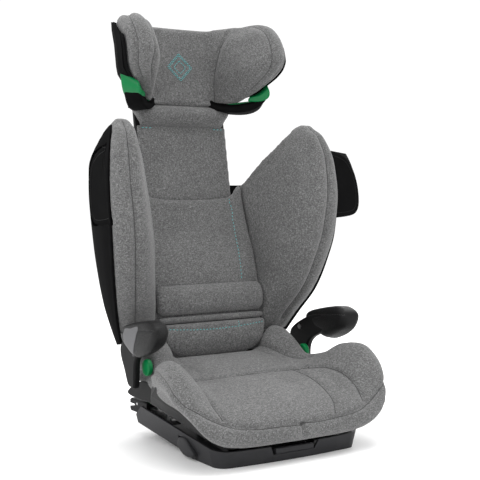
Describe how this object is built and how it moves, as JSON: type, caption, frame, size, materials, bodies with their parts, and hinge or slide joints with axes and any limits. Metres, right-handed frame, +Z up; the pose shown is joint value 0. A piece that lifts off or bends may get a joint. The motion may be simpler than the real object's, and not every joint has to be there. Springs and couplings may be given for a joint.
{
  "type": "high back booster car seat",
  "caption": "High-back child booster seat with winged backrest, raised headrest, armrests, side guards and anchor connectors on a tray base.",
  "frame": {"origin": "centre of the base's flat underside, on the surface that it stands on", "axes": "+Z up, +Y to the rear, +X to the right when the seat is seen from the front"},
  "size_m": [0.5849, 0.4905, 0.8281],
  "materials": {
    "grey_fabric": "heathered woven upholstery",
    "black_plastic": "fine grained",
    "dark_grey_plastic": "fine grained",
    "black_gloss_plastic": "satin gloss",
    "light_grey_plastic": "soft touch",
    "green_plastic": "satin gloss",
    "black_leather": "stitched imitation leather",
    "steel": "zinc plated"
  },
  "bodies": {
    "base": {"base_tray": "dark_grey_plastic", "base_deck": "black_gloss_plastic", "deck_screws": "steel"},
    "recline_handle": {"recline_handle": "dark_grey_plastic"},
    "lever_left": {"release_lever_left": "dark_grey_plastic"},
    "lever_right": {"release_lever_right": "dark_grey_plastic"},
    "connectors": {"connector_crossbar": "steel", "connector_rail_left": "steel", "connector_rail_right": "steel", "connector_housing_left": "black_plastic", "connector_housing_right": "black_plastic", "hook_pins": "steel"},
    "hook_left": {"anchor_hook_left": "steel"},
    "hook_right": {"anchor_hook_right": "steel"},
    "button_left": {"release_button_left": "green_plastic"},
    "button_right": {"release_button_right": "green_plastic"},
    "seat": {"seat_shell": "black_plastic", "seat_cushion": "grey_fabric", "armrest_horn_left": "black_plastic", "armrest_horn_right": "black_plastic", "armrest_cover_left": "black_leather", "armrest_cover_right": "black_leather", "armrest_inset_left": "light_grey_plastic", "armrest_inset_right": "light_grey_plastic", "armrest_screws": "steel", "lap_guide_left": "green_plastic", "lap_guide_right": "green_plastic"},
    "back": {"back_shell": "black_plastic", "recline_pins": "steel", "guard_pins": "steel", "wing_pad_left": "grey_fabric", "wing_pad_right": "grey_fabric", "back_pad": "grey_fabric", "lumbar_pad": "grey_fabric", "lower_flap": "grey_fabric", "height_rack": "black_plastic", "rear_cover": "black_plastic", "cover_screws": "steel"},
    "guard_left": {"guard_arm_left": "black_plastic", "guard_cover_left": "black_plastic"},
    "guard_right": {"guard_arm_right": "black_plastic", "guard_cover_right": "black_plastic"},
    "headrest": {"stem_plate": "black_plastic", "stem_cover": "grey_fabric", "neck_roll": "grey_fabric", "carriage": "black_plastic", "headrest_middle": "grey_fabric", "headrest_shell": "black_plastic", "headrest_wing_left": "grey_fabric", "headrest_wing_right": "grey_fabric", "belt_guide_left": "black_plastic", "belt_guide_right": "black_plastic", "guide_liner_left": "green_plastic", "guide_liner_right": "green_plastic"},
    "height_handle": {"height_handle": "black_plastic"},
    "lock_bar": {"lock_bar": "steel"}
  },
  "joints": [
    {"name": "recline_pull", "type": "slide", "parent": "base", "child": "recline_handle", "axis": [0, -1, 0], "range_m": [0, 0.012], "stiffness_N_per_m": 400},
    {"name": "lever_left_press", "type": "slide", "parent": "base", "child": "lever_left", "axis": [1, 0, 0], "range_m": [0, 0.006], "stiffness_N_per_m": 500},
    {"name": "lever_right_press", "type": "slide", "parent": "base", "child": "lever_right", "axis": [-1, 0, 0], "range_m": [0, 0.006], "stiffness_N_per_m": 500},
    {"name": "connector_slide", "type": "slide", "parent": "base", "child": "connectors", "axis": [0, 1, 0], "range_m": [0, 0.06]},
    {"name": "seat_glide", "type": "slide", "parent": "base", "child": "seat", "axis": [0, -1, 0], "range_m": [0, 0.04]},
    {"name": "back_recline", "type": "hinge", "parent": "seat", "child": "back", "pos_m": [0, 0.13, 0.105], "axis": [1, 0, 0], "range_deg": [-12, 0]},
    {"name": "guard_left_swing", "type": "hinge", "parent": "back", "child": "guard_left", "pos_m": [-0.244, -0.03939, 0.13487], "axis": [0, 0.1736, 0.9848], "range_deg": [0, 88]},
    {"name": "guard_right_swing", "type": "hinge", "parent": "back", "child": "guard_right", "pos_m": [0.244, -0.03939, 0.13487], "axis": [0, 0.1736, 0.9848], "range_deg": [0, 88]},
    {"name": "headrest_height", "type": "slide", "parent": "back", "child": "headrest", "axis": [0, 0.1736, 0.9848], "range_m": [-0.07, 0.03]},
    {"name": "height_handle_pull", "type": "slide", "parent": "headrest", "child": "height_handle", "axis": [0, 0.1736, 0.9848], "range_m": [0, 0.01], "stiffness_N_per_m": 300},
    {"name": "lock_bar_retract", "type": "slide", "parent": "headrest", "child": "lock_bar", "axis": [0, 0.9848, -0.1736], "range_m": [0, 0.004]},
    {"name": "button_left_slide", "type": "slide", "parent": "connectors", "child": "button_left", "axis": [0, -1, 0], "range_m": [0, 0.005], "stiffness_N_per_m": 300},
    {"name": "hook_left_turn", "type": "hinge", "parent": "connectors", "child": "hook_left", "pos_m": [-0.14, 0.101, 0.062], "axis": [1, 0, 0], "range_deg": [0, 34.5]},
    {"name": "button_right_slide", "type": "slide", "parent": "connectors", "child": "button_right", "axis": [0, -1, 0], "range_m": [0, 0.005], "stiffness_N_per_m": 300},
    {"name": "hook_right_turn", "type": "hinge", "parent": "connectors", "child": "hook_right", "pos_m": [0.14, 0.101, 0.062], "axis": [1, 0, 0], "range_deg": [0, 34.5]}
  ],
  "couplings": [
    {"joint": "lock_bar_retract", "follows": "height_handle_pull", "ratio": 0.4},
    {"joint": "hook_left_turn", "follows": "button_left_slide", "rad_per_m": 120},
    {"joint": "hook_right_turn", "follows": "button_right_slide", "rad_per_m": 120}
  ]
}
